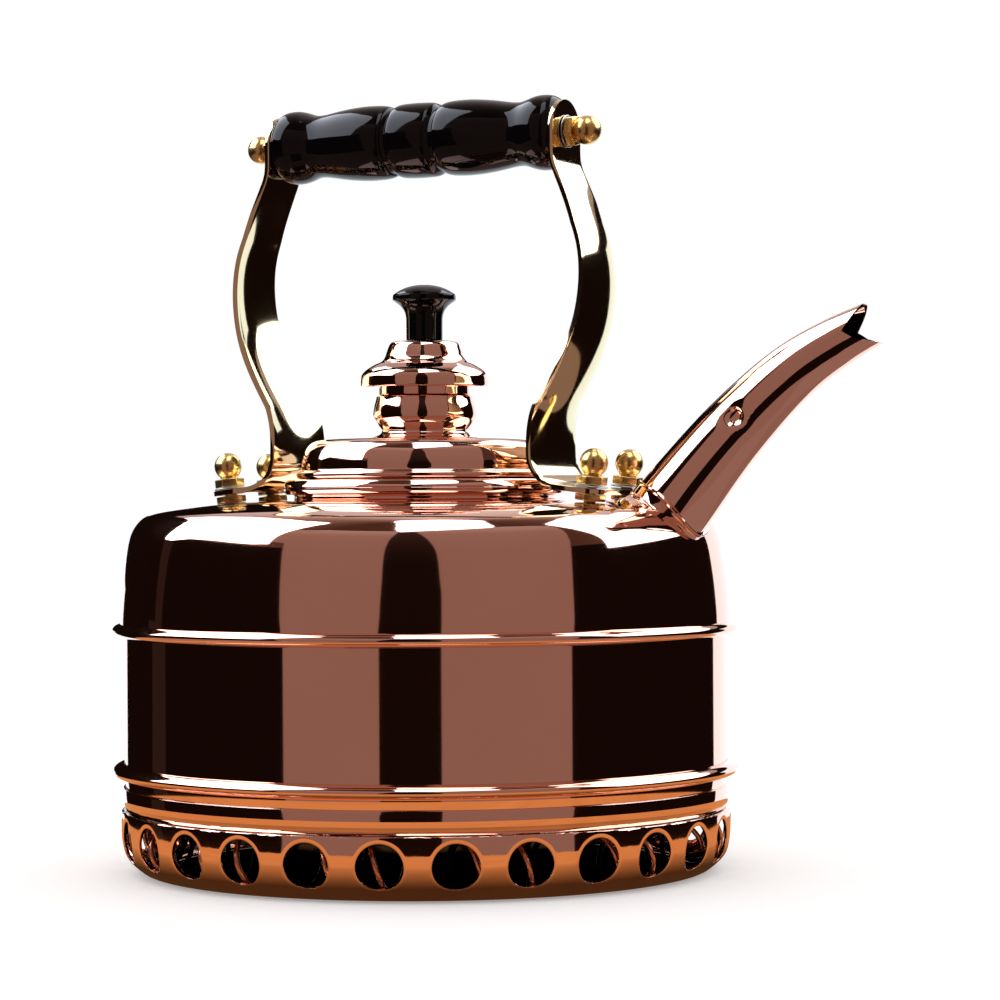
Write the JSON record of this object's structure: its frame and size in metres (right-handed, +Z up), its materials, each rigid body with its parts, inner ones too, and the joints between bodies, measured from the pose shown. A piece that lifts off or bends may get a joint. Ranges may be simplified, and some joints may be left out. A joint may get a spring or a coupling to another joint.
{
  "type": "stovetop kettle",
  "caption": "Polished copper stovetop kettle with a perforated heat ring and coil under the base, a lift-off lid, a curved spout and a turned bridge handle.",
  "frame": {"origin": "centre of the whole kettle's footprint box, on the surface that it stands on; the axis of the round body is 27.5 mm towards -X from it", "axes": "+Z up, +X towards the spout, +Y to the left of the spout"},
  "size_m": [0.2582, 0.2032, 0.2484],
  "materials": {
    "copper": "mirror polished copper",
    "copper_wire": "bright drawn copper wire",
    "brass": "polished brass",
    "steel": "plain",
    "black_lacquer": "turned wood, gloss black lacquer"
  },
  "bodies": {
    "kettle": {"shoulder_shell": "copper", "wall_band": "copper", "upper_bead": "copper", "lower_bead": "copper", "base_hoop": "copper", "base_plate": "copper", "heat_ring": "copper", "coil_retainer": "copper", "filler_collar": "copper", "spout_tube": "copper", "spout_ferrule": "copper", "spout_saddle": "copper", "whistle_cup": "copper", "heat_coil": "copper_wire", "front_bracket": "brass", "rear_bracket": "brass", "front_near_stud": "brass", "front_near_spacer": "brass", "front_near_washer": "steel", "front_near_ball_nut": "brass", "front_near_inner_nut": "brass", "front_far_stud": "brass", "front_far_spacer": "brass", "front_far_washer": "steel", "front_far_ball_nut": "brass", "front_far_inner_nut": "brass", "rear_near_stud": "brass", "rear_near_spacer": "brass", "rear_near_washer": "steel", "rear_near_ball_nut": "brass", "rear_near_inner_nut": "brass", "rear_far_stud": "brass", "rear_far_spacer": "brass", "rear_far_washer": "steel", "rear_far_ball_nut": "brass", "rear_far_inner_nut": "brass", "handle_grip": "black_lacquer", "handle_rod": "brass", "handle_front_washer": "steel", "handle_front_ball_nut": "brass", "handle_rear_washer": "steel", "handle_rear_ball_nut": "brass"},
    "lid": {"lid_dome": "copper", "lid_skirt": "copper", "lid_neck": "copper", "lid_crown": "copper", "lid_knob": "black_lacquer", "lid_screw": "brass"}
  },
  "joints": [
    {"name": "lid_lift", "type": "slide", "parent": "kettle", "child": "lid", "axis": [0, 0, 1], "range_m": [0, 0.032]}
  ]
}
